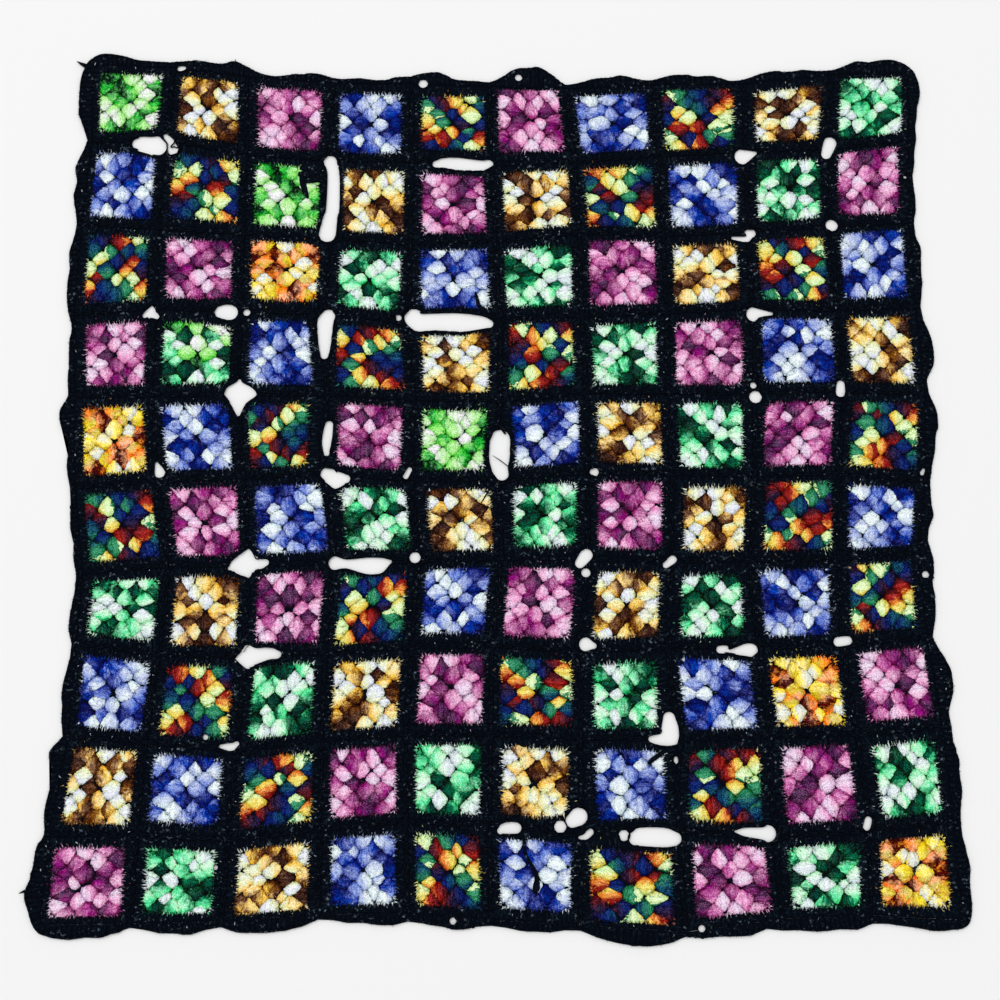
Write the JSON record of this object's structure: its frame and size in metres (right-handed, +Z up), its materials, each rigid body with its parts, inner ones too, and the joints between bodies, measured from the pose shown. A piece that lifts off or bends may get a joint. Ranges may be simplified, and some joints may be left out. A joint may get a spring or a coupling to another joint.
{
  "type": "granny square blanket",
  "caption": "Granny square blanket: shaded coloured squares, each framed in black, joined edge to edge inside a black crocheted edging, lying flat and slightly uneven.",
  "frame": {"origin": "centre of the blanket's bounding box, at its underside", "axes": "+Z up from the surface it lies on, +Y along its slightly longer side away from the near edge, +X to the right along the near edge"},
  "size_m": [1.4298, 1.442, 0.005],
  "materials": {
    "squares_yarn": "matte",
    "edging_yarn": "matte"
  },
  "bodies": {
    "root": {"squares_column_01": "squares_yarn", "squares_column_02": "squares_yarn", "squares_column_03": "squares_yarn", "squares_column_04": "squares_yarn", "squares_column_05": "squares_yarn", "squares_column_06": "squares_yarn", "squares_column_07": "squares_yarn", "squares_column_08": "squares_yarn", "squares_column_09": "squares_yarn", "squares_column_10": "squares_yarn", "edging": "edging_yarn"}
  },
  "joints": []
}
